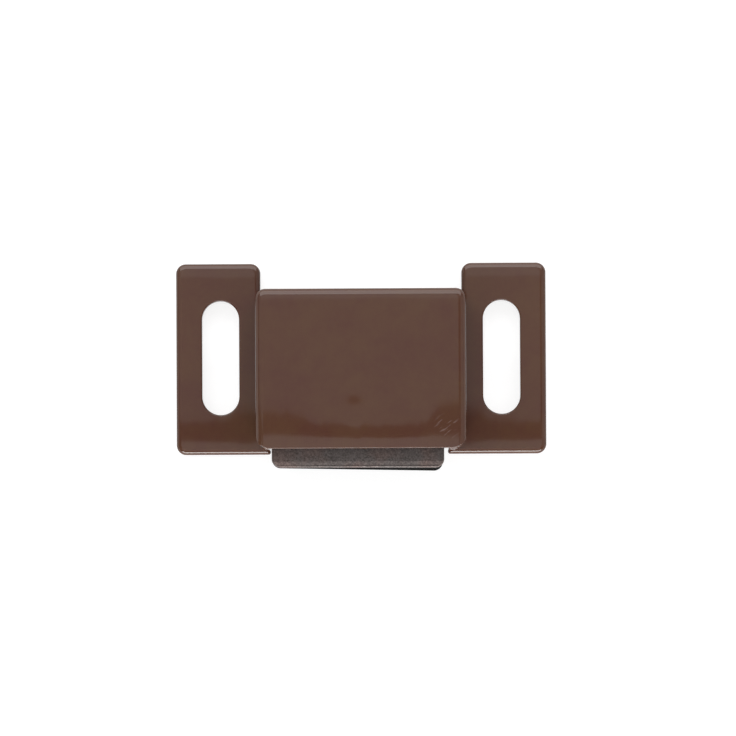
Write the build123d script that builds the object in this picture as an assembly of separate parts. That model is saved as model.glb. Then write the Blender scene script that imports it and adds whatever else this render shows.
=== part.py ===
from build123d import *
from math import radians, tan
import os

# Magnetic cabinet catch: a moulded plastic housing with two slotted ears and a raised box, and in the box a
# floating magnet pack, which is a ferrite block between two steel pole plates.
#
# Millimetres. The mounting face is z = 0 and +Z points away from the cabinet wall. X runs along the length,
# through both ears, and the pack stands out of the box towards -Y. The origin is on the mounting face,
# midway between the two screw slots.

# --- driving dimensions: ears -------------------------------------------------------------------------------
ear_width = 10.85           # along X, from the ear's inner edge to its outer edge
ear_depth = 24.6            # along Y, front edge to rear edge
ear_thickness = 2.4
ear_corner_r = 1.25         # corners seen from above
ear_edge_r = 0.75           # rounding of the upper edges
front_to_slots = 12.46      # from the ears' front edge back to the slots' middle

# --- driving dimensions: screw slots ------------------------------------------------------------------------
slot_width = 4.76
slot_length = 14.65         # end to end, along Y
slot_inset = 5.72           # from the ear's outer edge in to the slot's middle
slot_edge_r = 0.2

# --- driving dimensions: box --------------------------------------------------------------------------------
box_width = 27.1            # along X, at the mounting face
box_height = 12.7
box_front_step = 0.38       # the flange shows this far in front of the box's foot
box_rear_step = 3.35        # the ears run this far behind the box's foot
box_over_ear = 0.6          # the box's side wall stands this far onto the ear
box_front_corner_r = 1.95   # corners seen from above
box_rear_corner_r = 1.5
box_edge_r = 0.95           # rounding of the roof along the sides and the rear
front_edge_r = 0.15         # the roof's front edge is much sharper
outer_draft = 1.0           # degrees, at the sides and the rear
front_draft = 1.8           # the front wall leans back further
inner_draft = 0.5           # degrees
wall = 1.45
roof = 1.5
cheek = 2.15                # wall left beside the front opening, before it is set off the middle
opening_off_middle = 0.28   # the opening, with all that guides the pack, lies this far towards -X
cavity_corner_r = 0.5
flange_end_r = 0.3

# --- driving dimensions: magnet pack ------------------------------------------------------------------------
plate_thickness = 1.5
plate_corner_r = 1.1
plate_roll_r = 0.3          # edge rolled over by the punch, on the side away from the magnet
notch_depth = 1.6           # bite in each side edge of a pole plate, for the guide rib
notch_corner_r = 0.3
magnet_front_recess = 1.2   # the pole plates stand past the magnet at the front
magnet_rear_recess = 1.9
magnet_chamfer = 0.35
pack_proud = 1.69           # the upper plate stands this far in front of the ears
lower_plate_out = 0.26      # the lower plate lies this much further out than the upper one
upper_skew = -0.25          # degrees, how the loose plates lie in the pack
lower_skew = -1.13

# --- driving dimensions: how the pack is held ---------------------------------------------------------------
pack_side_play = 0.45       # between a plate's side edge and the opening
pack_off_middle = 0.1       # the loose pack lies this far from the opening's middle, towards -X
pack_headroom = 0.5         # between the upper plate and the roof
pack_foot_gap = 1.7         # between the mounting face and the lower plate
pack_rear_gap = 0.7         # left behind the plates when the pack is pushed right in
travel_in = 1.6
travel_out = 0.3
swivel = 2.0                # degrees each way that a plate can turn in the pack
swivel_margin = 0.07        # left at the notch at full travel and full swivel
rib_length = 3.0            # along Y
rib_gap = 0.5               # between the rib's tip and the bottom of the notch
rib_foot = 0.8              # the rib ends this far above the mounting face
magnet_side_gap = 0.55      # between the magnet and the rib's tip
lug_length = 2.0            # along Y
lug_pitch = 10.0            # between the two lugs of one side
lug_grip = 0.75             # the lug reaches this far under the plate
lug_gap = 0.3               # between the lug and the lower plate
lug_tip = 0.45              # thickness of the lug at its tip
lug_root = 0.15             # height of the lug's sloping underside at the wall
root_overlap = 0.6          # ribs and lugs start this far inside the wall that they grow from

# --- places worked out from them ----------------------------------------------------------------------------
ear_inner_x = box_width / 2 - box_over_ear
ear_outer_x = ear_inner_x + ear_width
slot_x = ear_outer_x - slot_inset
ear_front_y = -front_to_slots
ear_rear_y = ear_front_y + ear_depth

box_front_y = ear_front_y + box_front_step
box_rear_y = ear_rear_y - box_rear_step
cavity_half_width = box_width / 2 - wall
ear_root_rear_y = box_rear_y - wall / 2
cavity_front_y = box_front_y + wall
cavity_rear_y = box_rear_y - wall
ceiling_z = box_height - roof
ceiling_shrink = ceiling_z * tan(radians(inner_draft))
opening_half_width = box_width / 2 - cheek

plate_width = 2 * (opening_half_width - pack_side_play)
plate_front_y = ear_front_y - pack_proud
plate_rear_y = cavity_rear_y - ceiling_shrink - pack_rear_gap - travel_in
plate_depth = plate_rear_y - plate_front_y
plate_middle_y = (plate_front_y + plate_rear_y) / 2
upper_plate_top_z = ceiling_z - pack_headroom
magnet_top_z = upper_plate_top_z - plate_thickness
lower_plate_top_z = pack_foot_gap + plate_thickness
magnet_thickness = magnet_top_z - lower_plate_top_z
pack_x = -opening_off_middle - pack_off_middle

swivel_room = plate_width / 2 * tan(radians(swivel)) + swivel_margin
notch_front_gap = travel_in + swivel_room
notch_rear_gap = travel_out + lower_plate_out + swivel_room
notch_length = notch_front_gap + rib_length + notch_rear_gap
rib_front_y = plate_middle_y - notch_length / 2 + notch_front_gap
rib_middle_y = rib_front_y + rib_length / 2
rib_tip_x = plate_width / 2 - notch_depth + rib_gap
magnet_width = 2 * (rib_tip_x - magnet_side_gap)
lug_top_z = pack_foot_gap - lug_gap
lug_tip_x = plate_width / 2 - lug_grip


def rounded_outline(half_width, front_y, rear_y, front_corner_r, rear_corner_r):
    """A rectangle about the middle of the length, with one radius at its front corners and one at the rear."""
    outline = Rectangle(2 * half_width, rear_y - front_y, align=(Align.CENTER, Align.MIN))
    outline = Pos(0, front_y) * outline
    outline = fillet(outline.vertices().group_by(Axis.Y)[0], front_corner_r)
    return fillet(outline.vertices().group_by(Axis.Y)[-1], rear_corner_r)


def drafted_block(half_width, front_y, rear_y, height, front_corner_r, rear_corner_r, draft, draft_at_front):
    """A block standing on z = 0 whose side and rear walls lean in by one draft angle and its front by another."""
    lean = height * tan(radians(draft))
    front_lean = height * tan(radians(draft_at_front))
    foot = rounded_outline(half_width, front_y, rear_y, front_corner_r, rear_corner_r)
    top = rounded_outline(
        half_width - lean, front_y + front_lean, rear_y - lean, front_corner_r - lean, rear_corner_r - lean
    )
    return loft([foot, Pos(0, 0, height) * top], ruled=True)


def side_plate(flange_end_x):
    """The +X ear with its screw slot, its root under the box's side wall, and its flange along the front."""
    ear = Rectangle(ear_width, ear_depth, align=(Align.MIN, Align.MIN))
    ear = Pos(ear_inner_x, ear_front_y) * ear
    root_width = ear_inner_x - cavity_half_width
    root = Rectangle(root_width, ear_root_rear_y - ear_front_y, align=(Align.MIN, Align.MIN))
    root = Pos(cavity_half_width, ear_front_y) * root
    flange_length = cavity_half_width - flange_end_x
    flange = Rectangle(flange_length, box_front_step + wall, align=(Align.MIN, Align.MIN))
    flange = Pos(flange_end_x, ear_front_y) * flange
    outline = ear + root + flange

    outer_corners = outline.vertices().group_by(Axis.X)[-1]
    inner_rear_corner = outline.vertices().group_by(Axis.Y)[-1].sort_by(Axis.X)[0]
    outline = fillet([*outer_corners, inner_rear_corner], ear_corner_r)
    flange_corner = outline.vertices().group_by(Axis.X)[0].sort_by(Axis.Y)[0]
    outline = fillet(flange_corner, flange_end_r)

    slot = Pos(slot_x, 0) * SlotOverall(slot_length, slot_width, rotation=90)
    plate = extrude(outline - slot, ear_thickness)
    slot_rim = plate.faces().sort_by(Axis.Z)[-1].inner_wires()[0].edges()
    plate = fillet(slot_rim, slot_edge_r)
    upper_rim = plate.faces().sort_by(Axis.Z)[-1].outer_wire().edges()
    return fillet(upper_rim, ear_edge_r)


def rounded_block(front_y, edge_r):
    """The outside of the box with its front wall at front_y and its roof rounded all the way round."""
    block = drafted_block(
        box_width / 2, front_y, box_rear_y, box_height,
        box_front_corner_r, box_rear_corner_r, outer_draft, front_draft,
    )
    roof_rim = block.faces().sort_by(Axis.Z)[-1].edges()
    return fillet(roof_rim, edge_r)


def box_shell():
    """The raised box before its front is opened, its full rounding running out at the two front corners."""
    sharp_all_round = rounded_block(box_front_y, front_edge_r)
    soft_and_longer = rounded_block(box_front_y - 2 * box_front_corner_r, box_edge_r)
    return sharp_all_round & soft_and_longer


def pack_space():
    """The room inside the box, open at the mounting face and through the front wall."""
    cavity = drafted_block(
        cavity_half_width, cavity_front_y, cavity_rear_y, ceiling_z,
        cavity_corner_r, cavity_corner_r, inner_draft, inner_draft,
    )
    doorway_depth = box_front_step + wall + cavity_corner_r + ceiling_shrink
    doorway = Box(
        2 * opening_half_width, doorway_depth, ceiling_z, align=(Align.CENTER, Align.MIN, Align.MIN)
    )
    return cavity + Pos(-opening_off_middle, ear_front_y, 0) * doorway


def guide_rib():
    """A rib that stands in the plates' notches and stops the pack at both ends of its travel."""
    root_x = cavity_half_width + root_overlap
    rib = Box(
        root_x - rib_tip_x,
        rib_length,
        ceiling_z + root_overlap - rib_foot,
        align=(Align.MIN, Align.MIN, Align.MIN),
    )
    return Pos(rib_tip_x, rib_front_y, rib_foot) * rib


def snap_lug(middle_y):
    """A lug under the lower plate, flat on top and sloped below so that the pack snaps past it."""
    root_x = cavity_half_width + root_overlap
    profile = Polyline(
        (lug_tip_x, lug_top_z),
        (root_x, lug_top_z),
        (root_x, lug_root),
        (cavity_half_width, lug_root),
        (lug_tip_x, lug_top_z - lug_tip),
        close=True,
    )
    section = Plane.XZ * make_face(profile)
    return Pos(0, middle_y, 0) * extrude(section, lug_length / 2, both=True)


def both_sides_of_pack(shape):
    """A guide made for the +X side of a middle opening, and its mirror image, set where the opening is."""
    return Pos(-opening_off_middle, 0, 0) * (shape + mirror(shape, Plane.YZ))


def make_housing():
    right_plate = side_plate(opening_half_width - opening_off_middle)
    left_plate = mirror(side_plate(opening_half_width + opening_off_middle), Plane.YZ)
    body = box_shell() + right_plate + left_plate - pack_space()
    body += both_sides_of_pack(guide_rib())
    for lug_side in (-1, 1):
        body += both_sides_of_pack(snap_lug(rib_middle_y + lug_side * lug_pitch / 2))
    return body


def pole_plate():
    """A stamped pole plate about its own middle, its rolled edge on the upper side, at z = 0."""
    blank = RectangleRounded(plate_width, plate_depth, plate_corner_r)
    bite = RectangleRounded(2 * notch_depth, notch_length, notch_corner_r)
    bites = Pos(plate_width / 2, 0) * bite + Pos(-plate_width / 2, 0) * bite
    plate = extrude(blank - bites, -plate_thickness)
    rolled_rim = plate.faces().sort_by(Axis.Z)[-1].edges()
    return fillet(rolled_rim, plate_roll_r)


def make_upper_pole_plate():
    place = Pos(pack_x, plate_middle_y, upper_plate_top_z) * Rot(0, 0, upper_skew)
    return place * pole_plate()


def make_lower_pole_plate():
    """The same stamping turned over, so that its rolled edge faces the mounting face."""
    turned_over = mirror(pole_plate(), Plane.XY)
    place = Pos(pack_x, plate_middle_y - lower_plate_out, pack_foot_gap) * Rot(0, 0, lower_skew)
    return place * turned_over


def make_magnet():
    depth = plate_depth - magnet_front_recess - magnet_rear_recess
    block = Box(magnet_width, depth, magnet_thickness, align=(Align.CENTER, Align.MIN, Align.MIN))
    upright_edges = block.edges().filter_by(Axis.Z)
    block = chamfer(upright_edges, magnet_chamfer)
    return Pos(pack_x, plate_front_y + magnet_front_recess, lower_plate_top_z) * block


pieces = {
    "housing": make_housing(),
    "magnet": make_magnet(),
    "upper_pole_plate": make_upper_pole_plate(),
    "lower_pole_plate": make_lower_pole_plate(),
}

os.makedirs("parts", exist_ok=True)
for node, shape in pieces.items():
    export_step(shape, f"parts/{node}.step")
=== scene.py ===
import math

import bpy
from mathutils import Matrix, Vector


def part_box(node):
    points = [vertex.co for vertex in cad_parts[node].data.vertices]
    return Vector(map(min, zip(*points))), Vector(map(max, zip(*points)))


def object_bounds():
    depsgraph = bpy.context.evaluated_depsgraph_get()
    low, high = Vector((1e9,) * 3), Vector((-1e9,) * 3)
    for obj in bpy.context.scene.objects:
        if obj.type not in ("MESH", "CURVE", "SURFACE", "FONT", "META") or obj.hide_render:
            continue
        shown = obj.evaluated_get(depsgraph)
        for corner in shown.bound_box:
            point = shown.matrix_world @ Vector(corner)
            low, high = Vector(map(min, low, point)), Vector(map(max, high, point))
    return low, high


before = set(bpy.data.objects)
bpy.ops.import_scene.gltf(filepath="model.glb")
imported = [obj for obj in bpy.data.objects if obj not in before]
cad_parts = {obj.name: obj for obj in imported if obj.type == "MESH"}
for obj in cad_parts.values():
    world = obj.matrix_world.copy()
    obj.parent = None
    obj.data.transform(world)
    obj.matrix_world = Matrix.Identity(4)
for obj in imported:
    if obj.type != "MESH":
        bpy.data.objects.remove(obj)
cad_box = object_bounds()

# ----------------------------------------------------------------------------------------------------
# Housing: one injection moulding of brown ABS, the raised box with its two slotted ears. The mould was
# polished, so the plastic has a soft gloss. It shrank as it cooled, so the roof and the ears are not
# quite flat: they roll off towards their front and rear edges.
# ----------------------------------------------------------------------------------------------------

mm = 0.001
(_, ear_front, _), (_, ear_rear, roof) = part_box("housing")


def srgb(hex_colour):
    """The linear colour of an sRGB hex value."""
    channels = [int(hex_colour[i:i + 2], 16) / 255 for i in (1, 3, 5)]
    linear = [c / 12.92 if c <= 0.04045 else ((c + 0.055) / 1.055) ** 2.4 for c in channels]
    return (*linear, 1.0)


def add_node(material, kind, settings=None, **inputs):
    """A new node with its settings. An input goes by its label, or by its number, as _0.
    One given as a socket is linked, and any other is set."""
    node = material.node_tree.nodes.new(kind)
    for name, value in (settings or {}).items():
        setattr(node, name, value)
    for name, value in inputs.items():
        socket = node.inputs[int(name[1:])] if name[0] == "_" else node.inputs[name.replace("_", " ")]
        if isinstance(value, bpy.types.NodeSocket):
            material.node_tree.links.new(value, socket)
        else:
            socket.default_value = value
    return node


def new_material(name):
    """An empty material with its output node, and its Principled shader."""
    material = bpy.data.materials.new(name)
    material.use_nodes = True
    material.node_tree.nodes.clear()
    shader = add_node(material, "ShaderNodeBsdfPrincipled")
    add_node(material, "ShaderNodeOutputMaterial", Surface=shader.outputs["BSDF"])
    return material, shader


def dress(node_name, material):
    """Gives a CAD node its finished material."""
    for material_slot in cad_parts[node_name].material_slots:
        material_slot.material = material


# Polished ABS: a dielectric, its brown pigment slightly uneven, its gloss only a little softened by
# handling.
brown_abs, shader = new_material("polished_moulded_brown_abs")
shader.inputs["IOR"].default_value = 1.5
coordinates = add_node(brown_abs, "ShaderNodeTexCoord")
place = coordinates.outputs["Object"]
spot = add_node(brown_abs, "ShaderNodeSeparateXYZ", _0=place)

# A knock has left pale scratches near the front right corner of the roof. Only the noise's peaks are
# scratches.
scratch_length = 2.0 * mm
scratch_spacing = 0.3 * mm
knock = (10.9 * mm, -8.9 * mm, roof)
knock_core = 0.8 * mm
knock_reach = 1.8 * mm
streaks = add_node(
    brown_abs, "ShaderNodeMapping", {"vector_type": "TEXTURE"},
    Vector=place, Rotation=(0.0, 0.0, math.radians(36)),
    Scale=(scratch_length, scratch_spacing, scratch_length),
)
streaks = add_node(brown_abs, "ShaderNodeTexNoise", Vector=streaks.outputs[0], Scale=1.0, Detail=2.0)
streaks = add_node(
    brown_abs, "ShaderNodeMapRange", Value=streaks.outputs["Fac"], From_Min=0.56, From_Max=0.64,
)
from_knock = add_node(
    brown_abs, "ShaderNodeVectorMath", {"operation": "DISTANCE"}, _0=place, _1=knock,
)
knocked = add_node(
    brown_abs, "ShaderNodeMapRange",
    Value=from_knock.outputs["Value"], From_Min=knock_reach, From_Max=knock_core,
)
scratched = add_node(
    brown_abs, "ShaderNodeMath", {"operation": "MULTIPLY"}, _0=streaks.outputs[0], _1=knocked.outputs[0],
)

# The pigment flowed with the melt, in redder and greener clouds.
cloud_size = 5.0 * mm
clouds = add_node(
    brown_abs, "ShaderNodeTexNoise", Vector=place, Scale=1 / cloud_size, Detail=6.0, Roughness=0.7,
)
clouds = add_node(
    brown_abs, "ShaderNodeMapRange", Value=clouds.outputs["Fac"], From_Min=0.3, From_Max=0.7,
)
pigment = add_node(
    brown_abs, "ShaderNodeMix", {"data_type": "RGBA"},
    _0=clouds.outputs[0], _6=srgb("#553A2A"), _7=srgb("#503128"),
)
pigment = add_node(
    brown_abs, "ShaderNodeMix", {"data_type": "RGBA"},
    _0=scratched.outputs[0], _6=pigment.outputs[2], _7=srgb("#725C56"),
)
brown_abs.node_tree.links.new(pigment.outputs[2], shader.inputs["Base Color"])

# Handling has dulled the polish in patches.
patch_size = 3.0 * mm
patches = add_node(brown_abs, "ShaderNodeTexNoise", Vector=place, Scale=1 / patch_size, Detail=4.0)
dullness = add_node(
    brown_abs, "ShaderNodeMapRange", Value=patches.outputs["Fac"], To_Min=0.04, To_Max=0.09,
)
brown_abs.node_tree.links.new(dullness.outputs[0], shader.inputs["Roughness"])

# The walls dragged along the mould as the part left it, so they shine much less than the roof and the
# ears, which face up.
facing = add_node(brown_abs, "ShaderNodeSeparateXYZ", _0=coordinates.outputs["Normal"])
shine = add_node(
    brown_abs, "ShaderNodeMapRange",
    Value=facing.outputs["Z"], From_Min=0.6, From_Max=0.72, To_Min=0.15, To_Max=0.5,
)
brown_abs.node_tree.links.new(shine.outputs[0], shader.inputs["Specular IOR Level"])

# The belt that rolls off towards the front is narrow in the middle of the box, and wide towards its
# ends and on the ears. Each pair is a place along the catch and the belt's width there, both in mm.
half_length = 24.0 * mm
widest_belt = 16.0 * mm
end_belt = 7.04 * mm
belt_widths = (
    (-18.0, 7.0), (-14.5, 10.5), (-13.0, 9.0), (-9.0, 8.4), (-4.5, 5.4),
    (7.0, 5.4), (9.5, 9.0), (12.0, 12.0), (15.0, 10.0), (18.0, 7.0),
)
along = add_node(
    brown_abs, "ShaderNodeMapRange", Value=spot.outputs["X"], From_Min=-half_length, From_Max=half_length,
)
widths = add_node(brown_abs, "ShaderNodeFloatCurve", Value=along.outputs[0])
curve = widths.mapping.curves[0]
curve.points[0].location = (0.0, end_belt / widest_belt)
curve.points[1].location = (1.0, end_belt / widest_belt)
for x_mm, width_mm in belt_widths:
    curve.points.new((x_mm * mm + half_length) / (2 * half_length), width_mm * mm / widest_belt)
widths.mapping.update()

# The belt's rear edge wanders by up to 1.5 mm each way, in waves about 2 mm long.
wander_range = 3.0 * mm
wander_length = 2.0 * mm
wander = add_node(
    brown_abs, "ShaderNodeTexNoise", {"noise_dimensions": "1D"},
    W=spot.outputs["X"], Scale=1 / wander_length, Detail=5.0, Roughness=0.6,
)
wander = add_node(
    brown_abs, "ShaderNodeMath", {"operation": "MULTIPLY_ADD"},
    _0=wander.outputs[0], _1=wander_range, _2=-wander_range / 2,
)
belt = add_node(
    brown_abs, "ShaderNodeMath", {"operation": "MULTIPLY_ADD"},
    _0=widths.outputs[0], _1=widest_belt, _2=wander.outputs[0],
)

# How far the face has fallen there: nothing at the belt's rear edge, and steeper and steeper towards
# the front edge. It falls further where the belt is wide, and on the box.
ear_drop = 0.11 * mm
extra_drop_on_box = 0.05 * mm
drop_per_width = 0.0078
above_ears = 4.0 * mm
below_roof = 8.0 * mm
on_box = add_node(
    brown_abs, "ShaderNodeMapRange", Value=spot.outputs["Z"], From_Min=above_ears, From_Max=below_roof,
)
from_front = add_node(
    brown_abs, "ShaderNodeMath", {"operation": "SUBTRACT"}, _0=spot.outputs["Y"], _1=ear_front,
)
across_belt = add_node(
    brown_abs, "ShaderNodeMath", {"operation": "DIVIDE"}, _0=from_front.outputs[0], _1=belt.outputs[0],
)
into_belt = add_node(
    brown_abs, "ShaderNodeMath", {"operation": "SUBTRACT", "use_clamp": True},
    _0=1.0, _1=across_belt.outputs[0],
)
front_shape = add_node(
    brown_abs, "ShaderNodeMath", {"operation": "POWER"}, _0=into_belt.outputs[0], _1=3.0,
)
front_drop = add_node(
    brown_abs, "ShaderNodeMath", {"operation": "MULTIPLY_ADD"},
    _0=on_box.outputs[0], _1=extra_drop_on_box, _2=ear_drop,
)
front_drop = add_node(
    brown_abs, "ShaderNodeMath", {"operation": "MULTIPLY_ADD"},
    _0=belt.outputs[0], _1=drop_per_width, _2=front_drop.outputs[0],
)
front_fall = add_node(
    brown_abs, "ShaderNodeMath", {"operation": "MULTIPLY"},
    _0=front_shape.outputs[0], _1=front_drop.outputs[0],
)

# The roll-off towards the rear is short and even. The box ends in front of the ears' rear edge.
box_set_back = 3.35 * mm
rear_reach = 3.0 * mm
rear_drop = 0.1 * mm
rear_edge = add_node(
    brown_abs, "ShaderNodeMath", {"operation": "MULTIPLY_ADD"},
    _0=on_box.outputs[0], _1=-box_set_back, _2=ear_rear,
)
from_rear = add_node(
    brown_abs, "ShaderNodeMath", {"operation": "SUBTRACT"}, _0=rear_edge.outputs[0], _1=spot.outputs["Y"],
)
rear_shape = add_node(
    brown_abs, "ShaderNodeMapRange", Value=from_rear.outputs[0], From_Min=rear_reach, From_Max=0.0,
)
rear_shape = add_node(
    brown_abs, "ShaderNodeMath", {"operation": "POWER"}, _0=rear_shape.outputs[0], _1=2.0,
)
fall = add_node(
    brown_abs, "ShaderNodeMath", {"operation": "MULTIPLY_ADD"},
    _0=rear_shape.outputs[0], _1=rear_drop, _2=front_fall.outputs[0],
)

# The roof has one shallow dent, just left of its middle and nearer its front.
dent_middle = (-0.9 * mm, -6.7 * mm, roof)
dent_radius = 2.3 * mm
dent_depth = 0.029 * mm
from_dent = add_node(
    brown_abs, "ShaderNodeVectorMath", {"operation": "DISTANCE"}, _0=place, _1=dent_middle,
)
dent = add_node(
    brown_abs, "ShaderNodeMapRange", {"interpolation_type": "SMOOTHSTEP"},
    Value=from_dent.outputs["Value"], From_Min=dent_radius, From_Max=0.0,
)
fall = add_node(
    brown_abs, "ShaderNodeMath", {"operation": "MULTIPLY_ADD"},
    _0=dent.outputs[0], _1=dent_depth, _2=fall.outputs[0],
)
fallen = add_node(
    brown_abs, "ShaderNodeBump", {"invert": True}, Height=fall.outputs[0], Strength=1.0, Distance=1.0,
)

# The polish itself is not quite flat: it has long, low waves.
wave_length = 6.0 * mm
wave_height = 0.02 * mm
waves = add_node(brown_abs, "ShaderNodeTexNoise", Vector=place, Scale=1 / wave_length, Detail=1.5)
wavy = add_node(
    brown_abs, "ShaderNodeBump",
    Height=waves.outputs["Fac"], Strength=1.0, Distance=wave_height, Normal=fallen.outputs["Normal"],
)
brown_abs.node_tree.links.new(wavy.outputs["Normal"], shader.inputs["Normal"])

dress("housing", brown_abs)

# ----------------------------------------------------------------------------------------------------
# Pole plates: the two stamped steel plates of the magnet pack. The upper one is black-oxide finished, so
# it stays dark and dull. It stands out in front of the box, with a painted highlight just behind its
# front edge and painted shade on its roll. The lower one is coloured nearly black as painted shade.

# Worn black oxide on steel: a dark metal under a thin oxide, mottled warm and cold. The oxide's own
# grain is too fine to show, so it is drawn about 0.2 mm across.
mottle_size = 3.0 * mm
worn_grain_size = 0.2 * mm
worn_steel, shader = new_material("worn_black_oxide_steel")
shader.inputs["Metallic"].default_value = 0.7
shader.inputs["Roughness"].default_value = 0.4
place = add_node(worn_steel, "ShaderNodeTexCoord").outputs["Object"]
mottle = add_node(worn_steel, "ShaderNodeTexNoise", Vector=place, Scale=1 / mottle_size, Detail=2.0)
mottle = add_node(
    worn_steel, "ShaderNodeMapRange", Value=mottle.outputs["Fac"], From_Min=0.4, From_Max=0.6,
)
plate_colour_and_painted_light = add_node(
    worn_steel, "ShaderNodeMix", {"data_type": "RGBA"},
    _0=mottle.outputs[0], _6=srgb("#675955"), _7=srgb("#5F5856"),
)
grain = add_node(
    worn_steel, "ShaderNodeTexNoise", Vector=place, Scale=1 / worn_grain_size, Detail=4.0, Roughness=0.7,
)
grain = add_node(
    worn_steel, "ShaderNodeMapRange",
    Value=grain.outputs["Fac"], From_Min=0.3, From_Max=0.7, To_Min=0.4, To_Max=1.6,
)

# A lighter belt just behind the rolled front edge is a painted highlight, and the roll itself is darkened
# with painted shade, which dims its highlight. Each pair is where the change starts and where it is
# complete, counted back from the front edge.
highlight_belt_span = (0.9 * mm, 0.78 * mm)
roll_shade_span = (0.42 * mm, 0.34 * mm)
spot = add_node(worn_steel, "ShaderNodeSeparateXYZ", _0=place)
from_front = add_node(
    worn_steel, "ShaderNodeMath", {"operation": "SUBTRACT"},
    _0=spot.outputs["Y"], _1=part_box("upper_pole_plate")[0][1],
)
# Painted highlight: the belt just behind the roll is made lighter.
painted_highlight_belt = add_node(
    worn_steel, "ShaderNodeMapRange",
    Value=from_front.outputs[0], From_Min=highlight_belt_span[0], From_Max=highlight_belt_span[1],
    To_Min=1.0, To_Max=1.55,
)
# Painted shade: the roll is made darker, which dims its highlight.
painted_roll_shade = add_node(
    worn_steel, "ShaderNodeMapRange",
    Value=from_front.outputs[0], From_Min=roll_shade_span[0], From_Max=roll_shade_span[1],
    To_Min=1.0, To_Max=0.5,
)
grain_and_painted_edge_light = add_node(
    worn_steel, "ShaderNodeMath", {"operation": "MULTIPLY"}, _0=painted_highlight_belt.outputs[0], _1=painted_roll_shade.outputs[0],
)
grain_and_painted_edge_light = add_node(
    worn_steel, "ShaderNodeMath", {"operation": "MULTIPLY"}, _0=grain_and_painted_edge_light.outputs[0], _1=grain.outputs[0],
)
# The plate's mottled colour, times its grain and the painted highlight and shade.
plate_colour_and_painted_light = add_node(
    worn_steel, "ShaderNodeMix", {"data_type": "RGBA", "blend_type": "MULTIPLY"},
    _0=1.0, _6=plate_colour_and_painted_light.outputs[2], _7=grain_and_painted_edge_light.outputs[0],
)
worn_steel.node_tree.links.new(plate_colour_and_painted_light.outputs[2], shader.inputs["Base Color"])
dress("upper_pole_plate", worn_steel)

# Steel coloured nearly black and dull: painted shade, for the shade that the lower plate lies in under
# the upper one. Its grain too is drawn coarser than it is, about 0.3 mm across.
black_grain_size = 0.3 * mm
shade_black_steel, shader = new_material("near_black_steel_painted_shade")
shader.inputs["Roughness"].default_value = 0.6
place = add_node(shade_black_steel, "ShaderNodeTexCoord").outputs["Object"]
grain = add_node(shade_black_steel, "ShaderNodeTexNoise", Vector=place, Scale=1 / black_grain_size, Detail=3.0)
# Painted shade: the near-black colour stands in for the shade under the upper plate.
plate_colour_and_painted_light = add_node(
    shade_black_steel, "ShaderNodeMix", {"data_type": "RGBA"},
    _0=grain.outputs["Fac"], _6=srgb("#0F0D0C"), _7=srgb("#171413"),
)
shade_black_steel.node_tree.links.new(plate_colour_and_painted_light.outputs[2], shader.inputs["Base Color"])
dress("lower_pole_plate", shade_black_steel)

# ----------------------------------------------------------------------------------------------------
# Magnet: a block of sintered ferrite between the pole plates, which its own pull holds together. It is
# pressed from powder, fired and ground flat.
# ----------------------------------------------------------------------------------------------------

# Ground ferrite: a dull charcoal ceramic. Its powder is too fine to show, so its grain is drawn about
# 0.5 mm across.
powder_size = 0.5 * mm
ferrite, shader = new_material("ground_sintered_ferrite")
shader.inputs["Roughness"].default_value = 0.6
place = add_node(ferrite, "ShaderNodeTexCoord").outputs["Object"]
powder = add_node(ferrite, "ShaderNodeTexNoise", Vector=place, Scale=1 / powder_size, Detail=5.0)
charcoal = add_node(
    ferrite, "ShaderNodeMix", {"data_type": "RGBA"},
    _0=powder.outputs["Fac"], _6=srgb("#2B2A2C"), _7=srgb("#3A393B"),
)
ferrite.node_tree.links.new(charcoal.outputs[2], shader.inputs["Base Color"])
dress("magnet", ferrite)

# ----------------------------------------------------------------------------------------------------
# Studio: a sheet of white board under the catch, with a strong softbox low in front, a wide one behind
# and a larger one overhead, dim reflector cards between them and at both sides, and a dim room.
# ----------------------------------------------------------------------------------------------------

# The board lies a hair below the mounting face, so that the two never share a plane.
board_size = 4.0
board_gap = 0.02 * mm
bpy.ops.object.select_all(action="DESELECT")
bpy.ops.mesh.primitive_plane_add(size=board_size, location=(0.0, 0.0, cad_box[0][2] - board_gap))
board = bpy.context.object
board.name = "white_board"
bpy.ops.object.transform_apply(location=True, rotation=False, scale=False)

# Matt white card: it glows to the camera and in reflections only, so that it looks white all over and
# does not light the catch from below. Its grey base takes the catch's soft shadow.
white_card, shader = new_material("matt_white_card")
shader.inputs["Base Color"].default_value = srgb("#A0A0A0")
shader.inputs["Roughness"].default_value = 0.9
shader.inputs["Emission Color"].default_value = (1.0, 1.0, 1.0, 1.0)
rays = add_node(white_card, "ShaderNodeLightPath")
seen = add_node(
    white_card, "ShaderNodeMath", {"operation": "MAXIMUM"},
    _0=rays.outputs["Is Camera Ray"], _1=rays.outputs["Is Glossy Ray"],
)
seen = add_node(
    white_card, "ShaderNodeMath", {"operation": "MAXIMUM"},
    _0=seen.outputs[0], _1=rays.outputs["Is Transmission Ray"],
)
glow = add_node(white_card, "ShaderNodeMath", {"operation": "MULTIPLY"}, _0=seen.outputs[0], _1=0.8)
white_card.node_tree.links.new(glow.outputs[0], shader.inputs["Emission Strength"])
board.data.materials.append(white_card)


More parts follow.
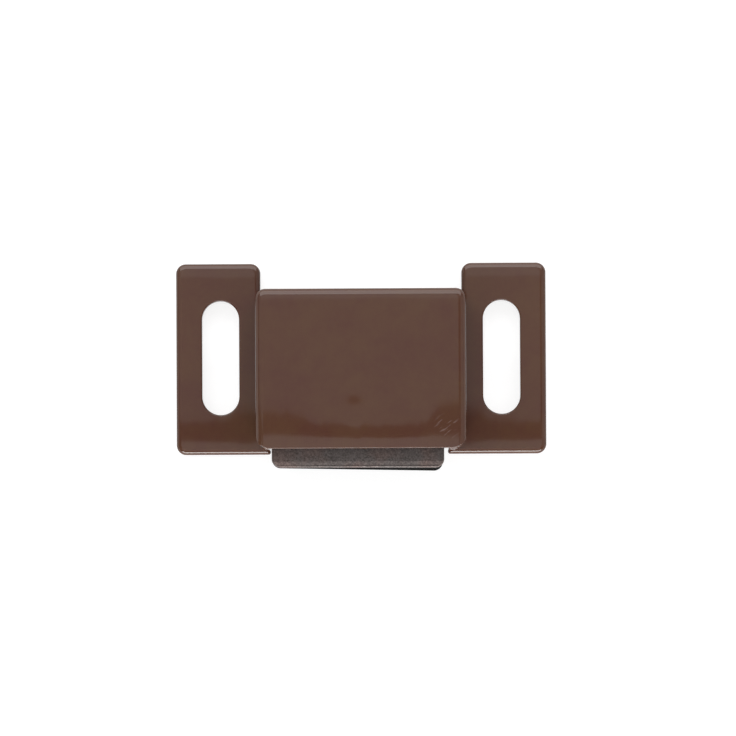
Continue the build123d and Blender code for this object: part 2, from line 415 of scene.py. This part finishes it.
def softbox(name, azimuth, elevation, distance, width, height, radiance):
    """A rectangular lamp that faces the origin. Angles are in degrees: azimuth 0 is in front, and 90
    is on the right. The distance, the width and the height are in metres."""
    lamp = bpy.data.lights.new(name, "AREA")
    lamp.shape = "RECTANGLE"
    lamp.size = width
    lamp.size_y = height
    lamp.energy = radiance * math.pi * width * height
    lamp_object = bpy.data.objects.new(name, lamp)
    bpy.context.collection.objects.link(lamp_object)
    turn, rise = math.radians(azimuth), math.radians(elevation)
    lamp_object.location = (
        distance * math.cos(rise) * math.sin(turn),
        -distance * math.cos(rise) * math.cos(turn),
        distance * math.sin(rise),
    )
    lamp_object.rotation_euler = (math.pi / 2 - rise, 0.0, turn)
    return lamp_object


softbox("front_softbox", 0, 12, 0.6, 0.84, 0.22, 10.0)
softbox("front_card", 0, 66.5, 0.9, 0.9, 0.60, 0.75)
softbox("rear_softbox", 180, 30, 0.6, 1.2, 0.66, 2.4)
softbox("rear_card", 180, 72, 0.9, 0.9, 0.38, 0.35)
softbox("right_card", 90, 33, 0.9, 0.9, 0.86, 0.45)
softbox("left_card", -90, 8, 0.9, 0.9, 0.30, 0.5)

# The overhead softbox hangs from a boom, moved to the left and the rear, so its front edge ends above
# the catch. The roll-off at the catch's front mirrors the dark gap between it and the front card.
overhead = softbox("overhead_softbox", 0, 90, 0.9, 1.64, 1.02, 0.53)
overhead.location.x = -0.68
overhead.location.y = 0.49

world = bpy.data.worlds.new("dim_room")
world.use_nodes = True
world.node_tree.nodes["Background"].inputs["Color"].default_value = (1.0, 1.0, 1.0, 1.0)
world.node_tree.nodes["Background"].inputs["Strength"].default_value = 0.08
bpy.context.scene.world = world
bpy.context.scene.view_settings.view_transform = "Standard"

# ----------------------------------------------------------------------------------------------------
# Camera: nearly straight above the front edge of the box, 0.6 m up, with a lens long enough that the
# catch fills half of its view.
# ----------------------------------------------------------------------------------------------------

lens = bpy.data.cameras.new("camera")
lens.sensor_width = 36.0
lens.lens = 227.24
lens.clip_start = 0.01
lens.clip_end = 10.0
camera = bpy.data.objects.new("camera", lens)
bpy.context.collection.objects.link(camera)
camera.location = (0.003631, -0.012057, 0.6)
camera.rotation_euler = (math.radians(1.024), math.radians(0.269), math.radians(-0.288))
bpy.context.scene.camera = camera
